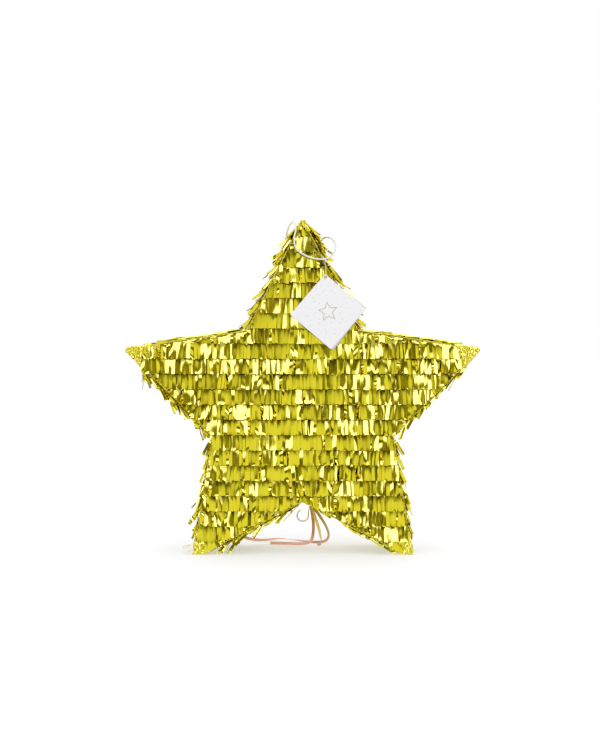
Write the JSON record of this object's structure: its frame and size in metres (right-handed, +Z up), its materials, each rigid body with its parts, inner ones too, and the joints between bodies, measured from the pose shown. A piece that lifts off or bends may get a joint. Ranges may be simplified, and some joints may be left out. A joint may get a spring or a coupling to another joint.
{
  "type": "pull-string pinata",
  "caption": "Five-pointed star party pinata covered in layered gold foil fringe, with a hanging cord, tag, filling flap and ribbon-pulled trap door.",
  "frame": {"origin": "on the floor plane under the two feet, in the middle of the width and depth", "axes": "+Z up towards the top arm, -Y out of the front face with the tag, +X to the right as seen from the front"},
  "size_m": [0.453, 0.0934, 0.4294],
  "materials": {
    "gold_foil": "bright metallised film, cut in strips",
    "cardboard": "plain brown corrugated board",
    "paper_tape": "matt paper tape",
    "cotton_cord": "twisted white cotton",
    "white_card": "smooth white card",
    "thread": "thin white thread",
    "copper_ribbon": "satin curling ribbon",
    "gold_ribbon": "satin curling ribbon",
    "yellow_ribbon": "satin curling ribbon"
  },
  "bodies": {
    "star": {"front_panel": "cardboard", "back_panel": "cardboard", "wall_top_arm": "cardboard", "wall_left_arm": "cardboard", "wall_left_leg": "cardboard", "wall_right_leg": "cardboard", "wall_right_arm": "cardboard", "trap_door_tape_fixed": "paper_tape", "fill_flap_tape_fixed": "paper_tape", "seam_tapes": "paper_tape", "front_fringe_row_01": "gold_foil", "front_fringe_row_02": "gold_foil", "front_fringe_row_03": "gold_foil", "front_fringe_row_04": "gold_foil", "front_fringe_row_05": "gold_foil", "front_fringe_row_06": "gold_foil", "front_fringe_row_07": "gold_foil", "front_fringe_row_08": "gold_foil", "front_fringe_row_09": "gold_foil", "front_fringe_row_10": "gold_foil", "front_fringe_row_11": "gold_foil", "front_fringe_row_12": "gold_foil", "front_fringe_row_13": "gold_foil", "front_fringe_row_14": "gold_foil", "front_fringe_row_15": "gold_foil", "front_fringe_row_16": "gold_foil", "front_fringe_row_17": "gold_foil", "front_fringe_row_18": "gold_foil", "front_fringe_row_19": "gold_foil", "front_fringe_row_20": "gold_foil", "front_fringe_row_21": "gold_foil", "front_fringe_row_22": "gold_foil", "back_fringe_upper": "gold_foil", "back_fringe_middle": "gold_foil", "back_fringe_lower": "gold_foil", "side_fringe_top_arm": "gold_foil", "side_fringe_left_arm": "gold_foil", "side_fringe_left_leg": "gold_foil", "side_fringe_right_leg": "gold_foil", "side_fringe_right_arm": "gold_foil", "tip_wraps": "gold_foil", "hang_cord": "cotton_cord", "cord_knots": "cotton_cord", "ribbon_copper": "copper_ribbon", "ribbon_gold": "gold_ribbon", "ribbon_yellow": "yellow_ribbon", "ribbon_curl": "yellow_ribbon"},
    "door": {"trap_door": "cardboard", "trap_door_tape_moving": "paper_tape", "trap_door_fringe": "gold_foil", "ribbon_knot": "copper_ribbon"},
    "flap": {"fill_flap": "cardboard", "fill_flap_tape_moving": "paper_tape", "fill_flap_fringe": "gold_foil"},
    "thread": {"tag_thread": "thread"},
    "tag": {"tag_back_leaf": "white_card", "tag_front_leaf": "white_card"}
  },
  "joints": [
    {"name": "trap_door", "type": "hinge", "parent": "star", "child": "door", "pos_m": [0.04705, 0, 0.04376], "axis": [0, -1, 0], "range_deg": [0, 85], "deforming": ["ribbon_copper", "ribbon_gold", "ribbon_yellow", "ribbon_curl"]},
    {"name": "fill_flap", "type": "hinge", "parent": "star", "child": "flap", "pos_m": [0, 0.04, 0.234], "axis": [1, 0, 0], "range_deg": [0, 100]},
    {"name": "tag_lift", "type": "hinge", "parent": "star", "child": "thread", "pos_m": [0.0284, -0.0465, 0.3782], "axis": [-1, 0, 0], "range_deg": [0, 70]},
    {"name": "tag_swing", "type": "hinge", "parent": "thread", "child": "tag", "pos_m": [0.0288, -0.0465, 0.3549], "axis": [0, 1, 0], "range_deg": [-25, 25]}
  ]
}
